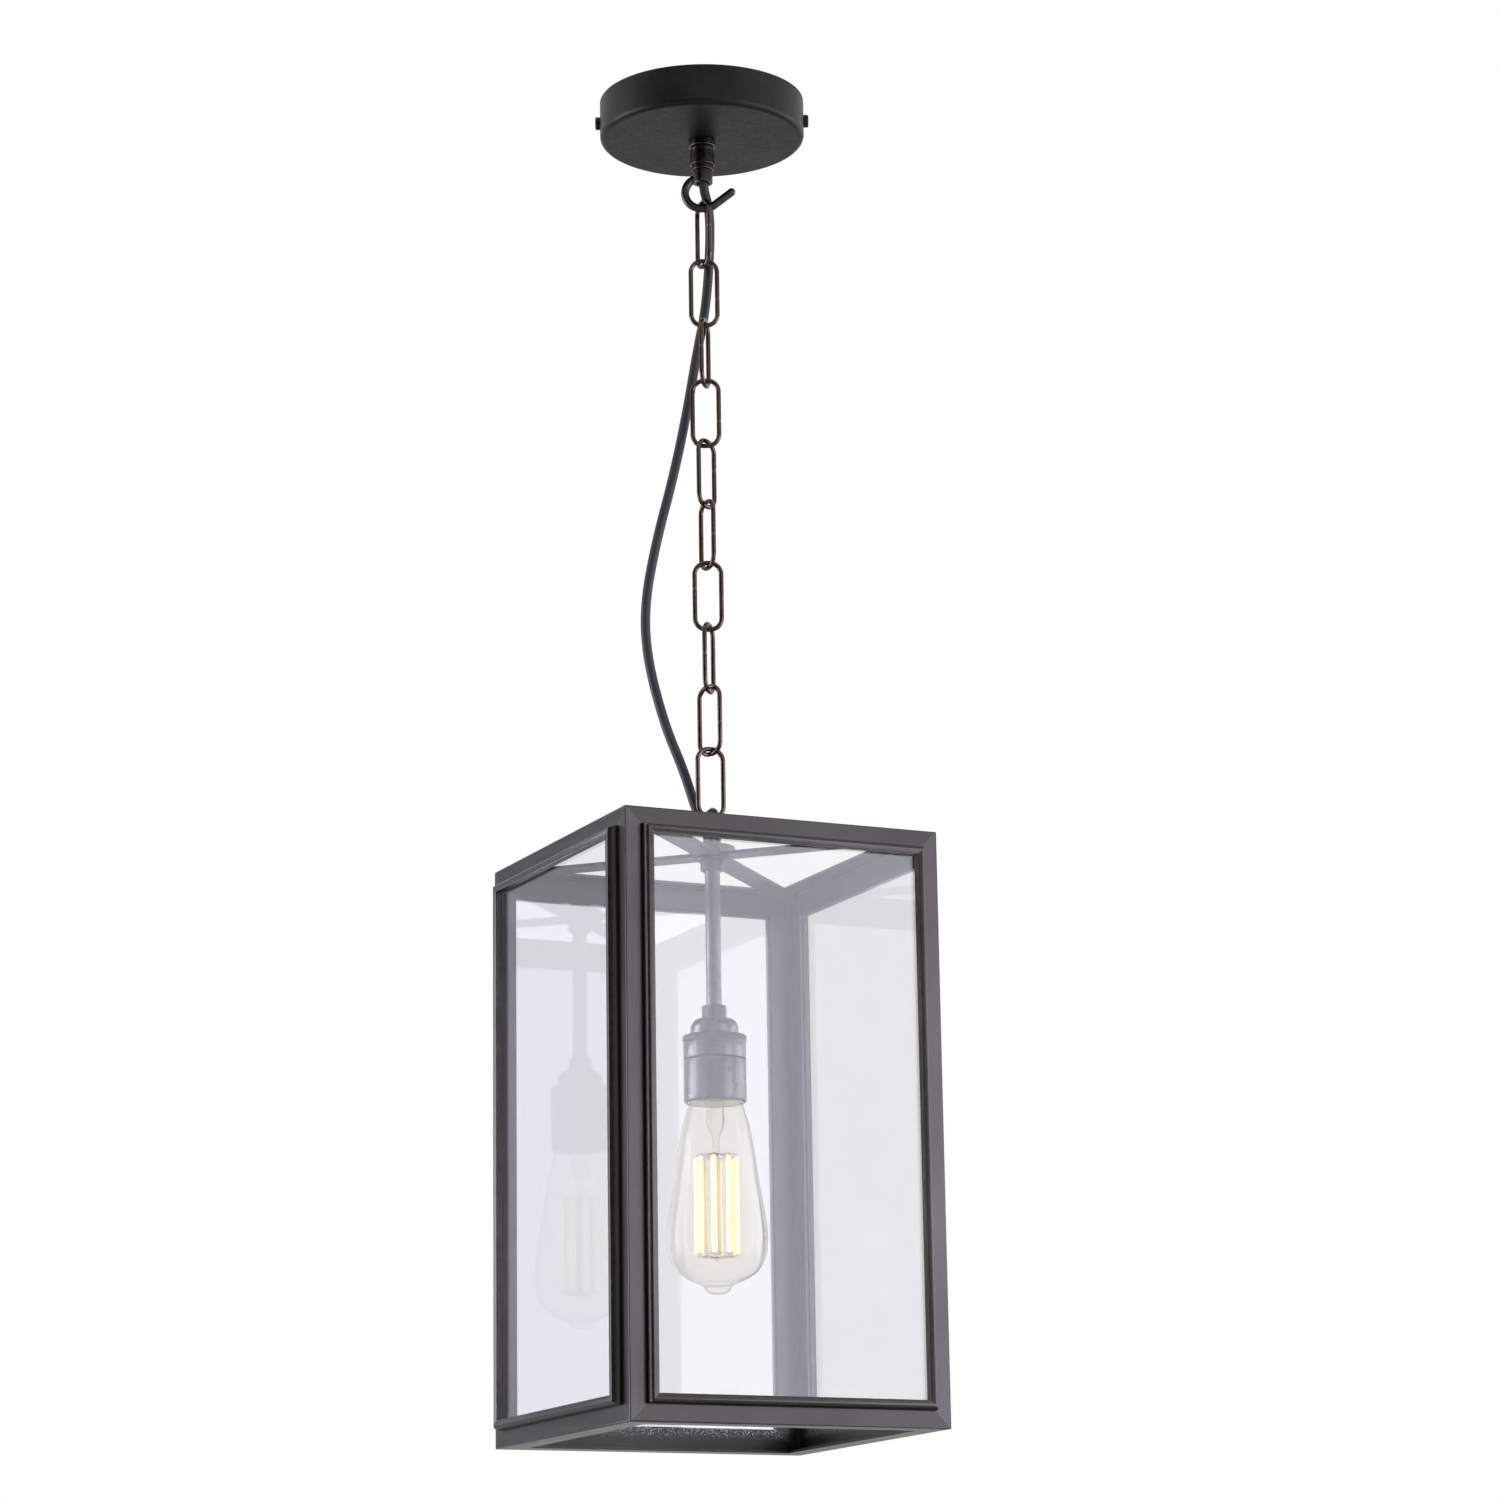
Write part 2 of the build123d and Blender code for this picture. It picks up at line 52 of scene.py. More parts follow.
Colour = tuple[float, float, float]
Pair = tuple[float, float]
Point = tuple[float, float, float]
Face = tuple[int, ...]
Value = Union[float, Sequence[float], bpy.types.NodeSocket]

MM = 0.001
HOOK_TURN = math.radians(-24.7)
SIDES = ("front", "right", "back", "left")
FULL_RANGE = (0.0, 1.0)
# Sockets of the mix node that hold its colours.
MIX_FIRST, MIX_SECOND, MIX_RESULT = 6, 7, 2
# Cosines of a normal's lean at which a mask is 0 and at which it is 1.
EDGE_LEAN = (0.995, 0.85)
INWARD_LEAN = (0.1, -0.6)
EDGE_SAMPLES = 4
WELD_REACH = 0.00001
EDGE_STEPS = 2
EDGE_ANGLE = math.radians(40)
SHARP_ANGLE = math.radians(50)
# Least radius in millimetres, which keeps a turned shape off the axis itself.
AXIS_RADIUS = 0.02
PAINT_ROUGHNESS = 0.9


class Grain(Enum):
    """Way in which the rubbed streaks of a metal run."""

    EVEN = (1.0, 1.0, 1.0)
    ALONG_X = (0.05, 1.0, 1.0)
    ALONG_Y = (1.0, 0.05, 1.0)
    UPRIGHT = (1.0, 1.0, 0.05)


class Graph:
    """Node tree of one material, with short calls for the nodes that the finishes share."""

    def __init__(self, name: str) -> None:
        """Start an empty tree.

        Args:
            name: Name of the material.
        """
        self.material = bpy.data.materials.new(name)
        self.material.use_nodes = True
        self.tree = self.material.node_tree
        self.tree.nodes.clear()
        self.output = self.add("ShaderNodeOutputMaterial")
        self.place = self.add("ShaderNodeTexCoord").outputs["Object"]

    def add(self, kind: str) -> bpy.types.Node:
        """Add a node of one kind."""
        return self.tree.nodes.new(kind)

    def feed(self, socket: bpy.types.NodeSocket, value: Value) -> None:
        """Set a socket to a plain value, or link it to another socket.

        Args:
            socket: Input to set.
            value: Number, colour, vector or the socket to link from.
        """
        if isinstance(value, bpy.types.NodeSocket):
            self.tree.links.new(value, socket)
        elif isinstance(value, (tuple, list)) and socket.type == "RGBA":
            socket.default_value = (*value, 1.0)
        else:
            socket.default_value = value

    def noise(
        self, size: float, grain: Grain = Grain.EVEN, detail: float = 3.0
    ) -> bpy.types.NodeSocket:
        """Cloudy values from 0 to 1.

        Args:
            size: Size of the clouds in metres.
            grain: Way in which the clouds are drawn out.
            detail: Octaves of finer clouds.

        Returns:
            The noise's value.
        """
        stretch = self.add("ShaderNodeMapping")
        self.feed(stretch.inputs["Vector"], self.place)
        self.feed(stretch.inputs["Scale"], grain.value)
        cloud = self.add("ShaderNodeTexNoise")
        self.feed(cloud.inputs["Vector"], stretch.outputs[0])
        self.feed(cloud.inputs["Scale"], 1.0 / size)
        self.feed(cloud.inputs["Detail"], detail)
        return cloud.outputs[0]

    def remap(self, value: Value, source: Pair, target: Pair) -> bpy.types.NodeSocket:
        """Stretch a value from one range to another, held at both ends.

        Args:
            value: Value to stretch.
            source: Its lowest and highest.
            target: What these become.

        Returns:
            The stretched value.
        """
        node = self.add("ShaderNodeMapRange")
        for socket, number in zip(node.inputs, (value, *source, *target)):
            self.feed(socket, number)
        return node.outputs[0]

    def sum(self, first: Value, second: Value, kind: str = "ADD") -> bpy.types.NodeSocket:
        """Two values added, or joined by another sum.

        Args:
            first: First value.
            second: Second value.
            kind: Name of the sum.

        Returns:
            The result.
        """
        node = self.add("ShaderNodeMath")
        node.operation = kind
        self.feed(node.inputs[0], first)
        self.feed(node.inputs[1], second)
        return node.outputs[0]

    def mix(self, share: Value, first: Value, second: Value) -> bpy.types.NodeSocket:
        """Colour between two others.

        Args:
            share: Share of the second colour.
            first: First colour.
            second: Second colour.

        Returns:
            The mixed colour.
        """
        node = self.add("ShaderNodeMix")
        node.data_type = "RGBA"
        self.feed(node.inputs[0], share)
        self.feed(node.inputs[MIX_FIRST], first)
        self.feed(node.inputs[MIX_SECOND], second)
        return node.outputs[MIX_RESULT]

    def edges(self, width: float) -> bpy.types.NodeSocket:
        """Mask that is 1 along the sharp edges of a piece and 0 on its flats.

        Args:
            width: Reach of the mask from an edge, in metres.

        Returns:
            The mask.
        """
        rounded = self.add("ShaderNodeBevel")
        rounded.samples = EDGE_SAMPLES
        self.feed(rounded.inputs["Radius"], width)
        flat = self.add("ShaderNodeNewGeometry")
        lean = self.add("ShaderNodeVectorMath")
        lean.operation = "DOT_PRODUCT"
        self.feed(lean.inputs[0], rounded.outputs[0])
        self.feed(lean.inputs[1], flat.outputs["Normal"])
        return self.remap(lean.outputs["Value"], EDGE_LEAN, FULL_RANGE)

    def inward(self) -> bpy.types.NodeSocket:
        """Mask that is 1 on the faces turned towards the hanging axis and 0 on the others.

        Returns:
            The mask.
        """
        flat = self.add("ShaderNodeVectorMath")
        flat.operation = "MULTIPLY"
        self.feed(flat.inputs[0], self.place)
        self.feed(flat.inputs[1], (1.0, 1.0, 0.0))
        outward = self.add("ShaderNodeVectorMath")
        outward.operation = "NORMALIZE"
        self.feed(outward.inputs[0], flat.outputs[0])
        lean = self.add("ShaderNodeVectorMath")
        lean.operation = "DOT_PRODUCT"
        self.feed(lean.inputs[0], outward.outputs[0])
        self.feed(lean.inputs[1], self.add("ShaderNodeNewGeometry").outputs["Normal"])
        return self.remap(lean.outputs["Value"], INWARD_LEAN, FULL_RANGE)

    def rise(self, low: float, high: float) -> bpy.types.NodeSocket:
        """Mask that goes from 0 to 1 between two heights.

        Args:
            low: Height in metres at which it is 0.
            high: Height in metres at which it is 1.

        Returns:
            The mask.
        """
        split = self.add("ShaderNodeSeparateXYZ")
        self.feed(split.inputs[0], self.place)
        return self.remap(split.outputs["Z"], (low, high), FULL_RANGE)

    def bump(self, height: Value, depth: float) -> bpy.types.NodeSocket:
        """Normal of a surface that a height raises.

        Args:
            height: Height from 0 to 1.
            depth: Metres between the two.

        Returns:
            The normal.
        """
        node = self.add("ShaderNodeBump")
        self.feed(node.inputs["Height"], height)
        self.feed(node.inputs["Distance"], depth)
        return node.outputs[0]

    def body(self, **sockets: Value) -> bpy.types.NodeSocket:
        """Principled shader with some of its sockets set.

        Args:
            **sockets: Values by socket, with spaces as underscores.

        Returns:
            The shader.
        """
        node = self.add("ShaderNodeBsdfPrincipled")
        for name, value in sockets.items():
            self.feed(node.inputs[name.replace("_", " ")], value)
        return node.outputs[0]

    def show(self, shader: bpy.types.NodeSocket) -> bpy.types.Material:
        """Put a shader on the surface and hand over the material."""
        self.feed(self.output.inputs["Surface"], shader)
        return self.material


@dataclass(frozen=True)
class MetalFinish:
    """Metal with cloudy patina, rubbed streaks and worn edges."""

    name: str
    slot: str
    base: Colour
    cloud: Colour
    worn: Colour
    roughness: Pair
    grain: Grain = Grain.EVEN
    metallic: float = 1.0
    cloud_size: float = 0.05
    streak_size: float = 0.004
    pit_size: float = 0.0008
    pit_depth: float = 0.00002
    edge_width: float = 0.0006
    flecks: float = 0.0
    fleck_size: float = 0.0008
    fleck_band: Pair = (-0.8765, -0.8715)
    fleck_range: Pair = (0.54, 0.66)
    fleck_colour: Colour = (0.62, 0.61, 0.60)
    streak_share: float = 0.6
    patch_range: Pair = (0.55, 1.05)
    rub_range: Pair = (0.3, 0.7)
    rub_share: Pair = (0.45, 1.0)
    rough_range: Pair = (0.7, 1.3)

    def material(self) -> bpy.types.Material:
        """Make the finish's material.

        Returns:
            The material.
        """
        graph = Graph(self.name)
        clouds = graph.noise(self.cloud_size, detail=4.0)
        streaks = graph.noise(self.streak_size, self.grain)
        pits = graph.noise(self.pit_size, detail=2.0)
        patches = graph.sum(clouds, graph.sum(streaks, self.streak_share, "MULTIPLY"))
        patina = graph.remap(patches, self.patch_range, FULL_RANGE)
        colour = graph.mix(patina, self.base, self.cloud)
        edges = graph.edges(self.edge_width)
        rub = graph.remap(streaks, self.rub_range, self.rub_share)
        colour = graph.mix(graph.sum(edges, rub, "MULTIPLY"), colour, self.worn)
        if self.flecks:
            spots = graph.noise(self.fleck_size, detail=4.0)
            specks = graph.remap(spots, self.fleck_range, (0.0, self.flecks))
            band = graph.sum(graph.inward(), graph.rise(*self.fleck_band), "MULTIPLY")
            colour = graph.mix(graph.sum(specks, band, "MULTIPLY"), colour, self.fleck_colour)
        rough = graph.remap(graph.sum(streaks, pits), self.rough_range, self.roughness)
        shader = graph.body(
            Base_Color=colour,
            Metallic=self.metallic,
            Roughness=rough,
            Normal=graph.bump(graph.sum(pits, streaks), self.pit_depth),
        )
        return graph.show(shader)


@dataclass(frozen=True)
class GlassFinish:
    """Clear or tinted glass that lets the light of the lamps through."""

    name: str
    slot: str
    tint: Colour
    ior: float = 1.5

    def material(self) -> bpy.types.Material:
        """Make the finish's material.

        Returns:
            The material.
        """
        graph = Graph(self.name)
        clear = graph.body(
            Base_Color=self.tint, Transmission_Weight=1.0, IOR=self.ior, Roughness=0.0
        )
        through = graph.add("ShaderNodeBsdfTransparent")
        graph.feed(through.inputs["Color"], self.tint)
        path = graph.add("ShaderNodeLightPath")
        joined = graph.add("ShaderNodeMixShader")
        graph.feed(joined.inputs[0], path.outputs["Is Shadow Ray"])
        graph.feed(joined.inputs[1], clear)
        graph.feed(joined.inputs[2], through.outputs[0])
        return graph.show(joined.outputs[0])


@dataclass(frozen=True)
class MouldedFinish:
    """Moulded, glazed or extruded stuff with a fine grain and faint clouds."""

    name: str
    slot: str
    base: Colour
    cloud: Colour
    roughness: Pair
    coat: float = 0.0
    grain_size: float = 0.0007
    grain_depth: float = 0.00002
    grain_range: Pair = (0.3, 0.7)
    cloud_size: float = 0.02
    cloud_range: Pair = (0.35, 0.7)

    def material(self) -> bpy.types.Material:
        """Make the finish's material.

        Returns:
            The material.
        """
        graph = Graph(self.name)
        clouds = graph.noise(self.cloud_size, detail=4.0)
        grain = graph.noise(self.grain_size, detail=2.0)
        share = graph.remap(clouds, self.cloud_range, FULL_RANGE)
        shader = graph.body(
            Base_Color=graph.mix(share, self.base, self.cloud),
            Roughness=graph.remap(grain, self.grain_range, self.roughness),
            Coat_Weight=self.coat,
            Normal=graph.bump(grain, self.grain_depth),
        )
        return graph.show(shader)


@dataclass(frozen=True)
class GlowFinish:
    """Surface that glows, by one strength on its outer side and one towards the lamp's axis."""

    name: str
    slot: str
    outer: Colour
    inner: Colour
    strength: Pair
    roughness: float = 0.5

    def material(self) -> bpy.types.Material:
        """Make the finish's material.

        Returns:
            The material.
        """
        graph = Graph(self.name)
        behind = graph.inward()
        shader = graph.body(
            Base_Color=self.outer,
            Roughness=self.roughness,
            Emission_Color=graph.mix(behind, self.outer, self.inner),
            Emission_Strength=graph.remap(behind, FULL_RANGE, self.strength),
        )
        return graph.show(shader)


Finish = Union[MetalFinish, GlassFinish, MouldedFinish, GlowFinish]

ROSE = MetalFinish(
    "satin_rose", "rose_metal",
    (0.016, 0.0165, 0.0145), (0.025, 0.025, 0.022), (0.10, 0.096, 0.085), (0.42, 0.56),
    metallic=0.95, cloud_size=0.03, edge_width=0.0012,
)
BRONZE = MetalFinish(
    "dark_bronze", "dark_bronze",
    (0.040, 0.036, 0.032), (0.064, 0.057, 0.049), (0.26, 0.22, 0.18), (0.22, 0.36),
    pit_depth=0.00001,
)
LINK_BRONZE = MetalFinish(
    "link_bronze", "chain_bronze",
    (0.056, 0.037, 0.031), (0.098, 0.069, 0.059), (0.36, 0.29, 0.25), (0.12, 0.24),
    cloud_size=0.012, streak_size=0.002, pit_depth=0.000008,
)
# Rails take darker colours than the posts, straps and beads.
RAIL_COLOURS = ((0.036, 0.0328, 0.0320), (0.052, 0.0478, 0.0460), (0.15, 0.139, 0.133))
POST_COLOURS = ((0.048, 0.0435, 0.0425), (0.068, 0.0625, 0.0600), (0.17, 0.157, 0.151))
PATINA_COLOURS = {
    Grain.EVEN: POST_COLOURS,
    Grain.UPRIGHT: POST_COLOURS,
    Grain.ALONG_X: RAIL_COLOURS,
    Grain.ALONG_Y: RAIL_COLOURS,
}
PATINA = {
    grain: MetalFinish(
        f"patina_{grain.name.lower()}", "frame_patina", *colours, (0.30, 0.42), grain,
        cloud_size=0.09, pit_depth=0.000006,
    )
    for grain, colours in PATINA_COLOURS.items()
}
# Lower rails: the same finish with pale flecks on their faces turned to the hanging axis, in a
# thin band of height.
LOWER_PATINA = {
    grain: replace(PATINA[grain], name=f"lower_{PATINA[grain].name}", flecks=0.6)
    for grain in (Grain.ALONG_X, Grain.ALONG_Y)
}
# Painted light: the same dark bronze as BRONZE, painted much lighter so that the holder, its ring
# and the rod look lit behind the front pane.
HOLDER_LIGHTENED = MetalFinish(
    "holder_bronze_painted_light", "dark_bronze",
    (0.105, 0.100, 0.100), (0.135, 0.129, 0.127), (0.30, 0.285, 0.27), (0.26, 0.34),
    pit_depth=0.000001,
)
PLATED = MetalFinish(
    "plated_steel", "plated_steel",
    (0.48, 0.47, 0.44), (0.36, 0.36, 0.35), (0.70, 0.69, 0.66), (0.28, 0.45),
    Grain.ALONG_X, cloud_size=0.02,
)
BRASS = MetalFinish(
    "turned_brass", "bright_brass",
    (0.62, 0.44, 0.17), (0.50, 0.35, 0.13), (0.85, 0.68, 0.36), (0.20, 0.34),
    cloud_size=0.01,
)
CAP_METAL = MetalFinish(
    "rolled_cap", "lamp_cap_metal",
    (0.58, 0.55, 0.48), (0.44, 0.42, 0.36), (0.78, 0.75, 0.68), (0.22, 0.38),
    cloud_size=0.01,
)
WIRE = MetalFinish(
    "lead_wire", "wire_steel",
    (0.50, 0.34, 0.18), (0.38, 0.25, 0.13), (0.66, 0.52, 0.36), (0.25, 0.40),
    cloud_size=0.006,
)
# Painted shade: the front pane is the same glass as the other three, given a darker, warmer tint
# so that it and what lies behind it look darker under these lamps.
FRONT_PANE_SHADED = GlassFinish("front_pane_glass_painted_shade", "pane_glass", (0.70, 0.685, 0.665))
PANE = GlassFinish("pane_glass", "pane_glass", (0.845, 0.852, 0.872))
LAMP_TINT = GlassFinish("lamp_tint", "lamp_glass_tint", (0.92, 0.905, 0.845), 1.2)
STEM_GLASS = GlassFinish("stem_glass", "clear_glass", (0.97, 0.93, 0.84), 1.08)
SHEATH = MouldedFinish(
    "flex_sheath", "flex_sheath",
    (0.012, 0.013, 0.0185), (0.019, 0.021, 0.028), (0.52, 0.66), grain_depth=0.00003,
)
IVORY = MouldedFinish(
    "ivory_glaze", "porcelain", (0.80, 0.74, 0.62), (0.84, 0.79, 0.68), (0.18, 0.30), 0.4,
)
BLOCK = MouldedFinish(
    "block_plastic", "block_plastic", (0.76, 0.75, 0.70), (0.80, 0.79, 0.75), (0.40, 0.55),
)
# Painted light: the porcelain rim inside the holder's mouth glows, though it is no lamp, in place
# of the lamp's light falling on it.
RIM_PAINTED_GLOW = GlowFinish("rim_painted_glow", "porcelain", IVORY.base, IVORY.base, (0.5, 0.5))
GLOW = GlowFinish("stick_glow", "phosphor", (1.0, 0.88, 0.42), (1.0, 0.74, 0.36), (1.7, 0.18))


class Palette:
    """Materials made so far, one to a finish."""

    def __init__(self) -> None:
        """Start with no material."""
        self.made: dict[str, bpy.types.Material] = {}

    def of(self, finish: Finish) -> bpy.types.Material:
        """Material of a finish, made at its first use."""
        if finish.name not in self.made:
            self.made[finish.name] = finish.material()
        return self.made[finish.name]


PALETTE = Palette()


def ring_faces(rings: int, sides: int, closed: bool) -> list[Face]:
    """Faces of a skin over rings of points.

    Args:
        rings: Number of rings.
        sides: Points on each ring.
        closed: True if the last ring meets the first, and otherwise both ends are capped.

    Returns:
        Corner numbers of each face.
    """
    faces: list[Face] = []
    for ring in range(rings if closed else rings - 1):
        here, there = ring * sides, (ring + 1) % rings * sides
        for side in range(sides):
            after = (side + 1) % sides
            faces.append((here + side, here + after, there + after, there + side))
    if not closed:
        faces.append(tuple(reversed(range(sides))))
        faces.append(tuple(range((rings - 1) * sides, rings * sides)))
    return faces


class Skin:
    """Points and faces of one mesh, gathered from skins over rings of points."""

    def __init__(self) -> None:
        """Start with no point."""
        self.points: list[Vector] = []
        self.faces: list[Face] = []

    def add(self, rings: Sequence[Sequence[Vector]], closed: bool) -> "Skin":
        """Lay a skin over rings, beside what is there already.

        Args:
            rings: Points of each ring in metres.
            closed: True if the last ring meets the first, and otherwise both ends are capped.

        Returns:
            The skin itself.
        """
        first = len(self.points)
        self.points += [point for ring in rings for point in ring]
        for face in ring_faces(len(rings), len(rings[0]), closed):
            self.faces.append(tuple(first + corner for corner in face))
        return self


def around(radius: float, angle: float, height: float) -> Vector:
    """Point about the hanging axis.

    Args:
        radius: Its distance from the axis.
        angle: Its angle in radians.
        height: Its height.

    Returns:
        The point, in the unit of the radius and the height.
    """
    return Vector((radius * math.cos(angle), radius * math.sin(angle), height))


def lathe(outline: Sequence[Pair], sides: int, closed: bool) -> Skin:
    """Skin of an outline turned round the hanging axis.

    Args:
        outline: Radius and height of each point, in millimetres.
        sides: Points round the axis.
        closed: True if the outline's end meets its start.

    Returns:
        The skin.
    """
    turns = [math.tau * side / sides for side in range(sides)]
    rings = [[around(radius, turn, height) * MM for turn in turns] for radius, height in outline]
    return Skin().add(rings, closed)


def through(corners: Sequence[Pair], steps: int) -> list[Pair]:
    """Smooth line through points, rounded by their neighbours.

    Args:
        corners: Points that the line passes.
        steps: Steps between two of them.

    Returns:
        The points of the line.
    """
    line: list[Pair] = []
    held = [corners[0], *corners, corners[-1]]
    for before, start, end, after in zip(held, held[1:], held[2:], held[3:]):
        for step in range(steps):
            t = step / steps
            line.append(tuple(
                0.5 * (
                    2 * b
                    + (c - a) * t
                    + (2 * a - 5 * b + 4 * c - d) * t**2
                    + (3 * b - a - 3 * c + d) * t**3
                )
                for a, b, c, d in zip(before, start, end, after)
            ))
    line.append(tuple(corners[-1]))
    return line


def drawn_in(line: Sequence[Pair], wall: float) -> list[Pair]:
    """Inner side of a wall that follows an outline down to the axis.

    Args:
        line: Radius and height along the outer side, from the top down.
        wall: Thickness of the wall.

    Returns:
        The points of the inner side.
    """
    inner: list[Pair] = []
    top = line[0][1]
    for before, (radius, height), after in zip([line[0], *line], line, [*line[1:], line[-1]]):
        run, rise = after[0] - before[0], after[1] - before[1]
        scale = wall / math.hypot(run, rise)
        inner.append((max(radius + rise * scale, AXIS_RADIUS), min(height - run * scale, top)))
    return inner


def tube(
    path: Sequence[Vector], radii: Sequence[float], sides: int, closed: bool
) -> list[list[Vector]]:
    """Rings of a round wire along a path.

    Args:
        path: Points of its centreline.
        radii: Radius at each point.
        sides: Points on each ring.
        closed: True if the path's end meets its start.

    Returns:
        The points of each ring.
    """
    count = len(path)
    turns = [math.tau * side / sides for side in range(sides)]
    rings: list[list[Vector]] = []
    across: Vector | None = None
    for place, (centre, radius) in enumerate(zip(path, radii)):
        after = path[(place + 1) % count] if closed or place + 1 < count else centre
        before = path[place - 1] if closed or place else centre
        along = (after - before).normalized()
        if across is None:
            across = along.orthogonal()
        across = (across - along * across.dot(along)).normalized()
        up = along.cross(across)
        rings.append([
            centre + radius * (across * math.cos(turn) + up * math.sin(turn)) for turn in turns
        ])
    return rings


@dataclass
class SubAssembly:
    """Group of pieces that are built and dressed together."""

    title: str

    def dress(self, finish: Finish, nodes: Iterable[str], soften: float = 0.0) -> None:
        """Give solids of the frame their finish.

        Args:
            finish: Finish to give.
            nodes: Names of the solids.
            soften: Width in metres of the rounding on their sharp edges.
        """
        for name in nodes:
            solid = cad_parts[name]
            if not solid.material_slots:
                solid.data.materials.append(None)
            for place in solid.material_slots:
                place.material = PALETTE.of(finish)
            if soften:
                weld = solid.modifiers.new("weld", "WELD")
                weld.merge_threshold = WELD_REACH
                edge = solid.modifiers.new("edge", "BEVEL")
                edge.width = soften
                edge.segments = EDGE_STEPS
                edge.limit_method = "ANGLE"
                edge.angle_limit = EDGE_ANGLE
                edge.harden_normals = True
            log.info("%s: %s in %s", self.title, name, finish.name)

    def piece(
        self, name: str, skin: Skin, finish: Finish, stands_for: Sequence[str] = ()
    ) -> bpy.types.Object:
        """Make a smooth mesh piece with its finish.

        Args:
            name: Name of the piece.
            skin: Its points and faces.
            finish: Finish to give.
            stands_for: Solids of the frame that it takes the place of.

        Returns:
            The piece.
        """
        mesh = bpy.data.meshes.new(name)
        mesh.from_pydata([tuple(point) for point in skin.points], [], skin.faces)
        mesh.validate()
        shell = bmesh.new()
        shell.from_mesh(mesh)
        bmesh.ops.recalc_face_normals(shell, faces=shell.faces)
        shell.to_mesh(mesh)
        shell.free()
        mesh.shade_smooth()
        mesh.set_sharp_from_angle(angle=SHARP_ANGLE)
        mesh.materials.append(PALETTE.of(finish))
        made = bpy.data.objects.new(name, mesh)
        bpy.context.scene.collection.objects.link(made)
        if stands_for:
            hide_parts(*stands_for)
        log.info("%s: %s in %s", self.title, name, finish.name)
        return made


@dataclass
class CeilingRose(SubAssembly):
    """Cup, bracket, wiring block and screws at the ceiling, and the hook below them."""

    title: str = "ceiling rose"
    edge: float = 0.0003

    def build(self) -> None:
        """Dress the solids of the rose and the hook."""
        self.dress(ROSE, ["rose_cup", "rose_side_screws"])
        self.dress(PLATED, ["ceiling_bracket", "hook_nut"], self.edge)
        self.dress(BLOCK, ["terminal_block"], self.edge)
        self.dress(BRASS, ["terminal_screws", "earth_screw"])
        self.dress(BRONZE, ["cast_hook"])


@dataclass
class Chain(SubAssembly):
    """Ten oval links of round wire, each closed by a butt seam in one leg."""

    title: str = "chain"
    wire: float = 3.1
    length: float = 48.0
    width: float = 20.4
    seat: float = 2.0
    top_bow: float = -70.05
    gap: float = 0.2
    turns: tuple[float, ...] = (-63, 0, 75, -5, 55, 118, 180, 252, 319, 380)
    seam_sides: tuple[int, ...] = (1, 1, -1, 1, 1, -1, 1, 1, 1, -1)
    seam_heights: tuple[float, ...] = (3.0, -4.0, 2.0, -6.0, 4.0, -2.0, 5.0, 1.0, -3.0, 2.5)
    seam_width: float = 0.22
    seam_depth: float = 0.14
    seam_lip: float = 0.7
    seam_taper: float = 0.985
    seam_reach: Pair = (2, 6)
    bend_steps: int = 14
    sides: int = 24

    def outline(self, seam_side: int, seam_height: float) -> list[Point]:
        """Centreline of a link, from the seam round to the seam again.

        Args:
            seam_side: Leg of the seam, 1 or -1.
            seam_height: Height of the seam from the link's middle.

        Returns:
            Place across, height and wire radius at each point, in millimetres.
        """
        half = (self.width - self.wire) / 2
        rise = (self.length - self.wire) / 2
        bend = half - self.seat / 2
        radius = self.wire / 2
        lip = radius - self.seam_depth * self.seam_lip
        near, far = (widths * self.seam_width for widths in self.seam_reach)
        line = [
            (half, seam_height, radius - self.seam_depth),
            (half, seam_height + self.seam_width, lip),
            (half, seam_height + near, radius),
            (half, seam_height + far, radius),
        ]
        corners = ((1, 1, 0), (-1, 1, 90), (-1, -1, 180), (1, -1, 270))
        for side, up, start in corners:
            for step in range(self.bend_steps + 1):
                angle = math.radians(start + 90 * step / self.bend_steps)
                across = side * (half - bend) + bend * math.cos(angle)
                line.append((across, up * (rise - bend) + bend * math.sin(angle), radius))
        line += [
            (half, seam_height - far, radius),
            (half, seam_height - near, radius * self.seam_taper),
            (half, seam_height - self.seam_width, lip),
        ]
        return [(seam_side * across, height, wide) for across, height, wide in line]

    def build(self) -> None:
        """Build every link where the frame holds it."""
        pitch = self.length - 2 * self.wire - self.gap
        middle = self.top_bow - (self.length - self.wire) / 2
        facts = zip(self.turns, self.seam_sides, self.seam_heights)
        for number, (turn, seam_side, seam_height) in enumerate(facts, 1):
            yaw = HOOK_TURN + math.radians(turn)
            line = self.outline(seam_side, seam_height)
            path = [around(across, yaw, middle + height) * MM for across, height, _ in line]
            rings = tube(path, [wide * MM for _, _, wide in line], self.sides, True)
            name = f"link_piece_{number:02d}"
            skin = Skin().add(rings, True)
            link = self.piece(name, skin, LINK_BRONZE, [f"chain_link_{number:02d}"])
            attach(link, f"link_{number:02d}")
            middle -= pitch


